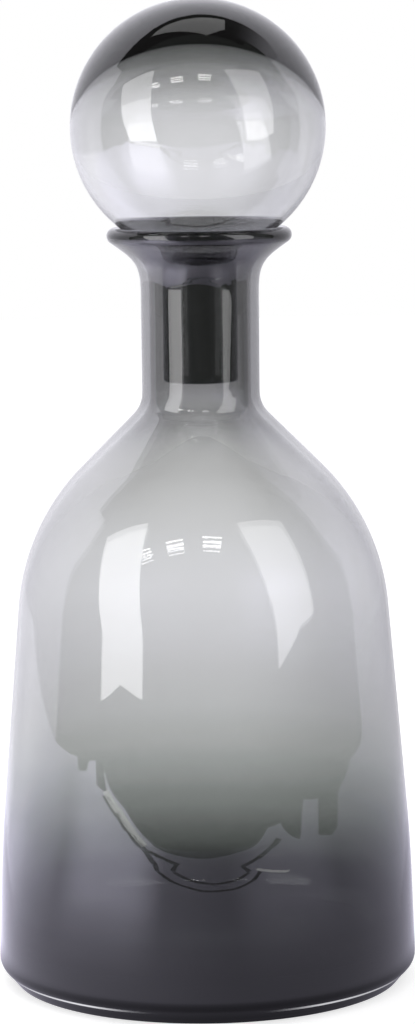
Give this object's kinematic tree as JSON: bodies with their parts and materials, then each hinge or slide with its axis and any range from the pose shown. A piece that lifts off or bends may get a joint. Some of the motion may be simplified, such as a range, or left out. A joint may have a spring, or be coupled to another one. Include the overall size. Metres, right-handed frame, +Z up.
{
  "type": "carafe",
  "caption": "Tall smoke-glass carafe with a flared rolled lip and a loose hollow ball stopper on a ground shank.",
  "frame": {"origin": "centre of the ring that the carafe stands on, on the table's plane", "axes": "+Z up along the carafe's axis, +X to the right and +Y away from the viewer"},
  "size_m": [0.1416, 0.1416, 0.3301],
  "materials": {
    "vessel_glass": "fire-polished smoke glass, pale at the shoulder and nearly black at the base",
    "stopper_glass": "fire-polished smoke glass, ground flat at the shank's end"
  },
  "bodies": {
    "vessel": {"vessel": "vessel_glass"},
    "stopper": {"ball_stopper": "stopper_glass"}
  },
  "joints": [
    {"name": "stopper_lift", "type": "slide", "parent": "vessel", "child": "stopper", "axis": [0, 0, 1], "range_m": [0, 0.08]}
  ]
}
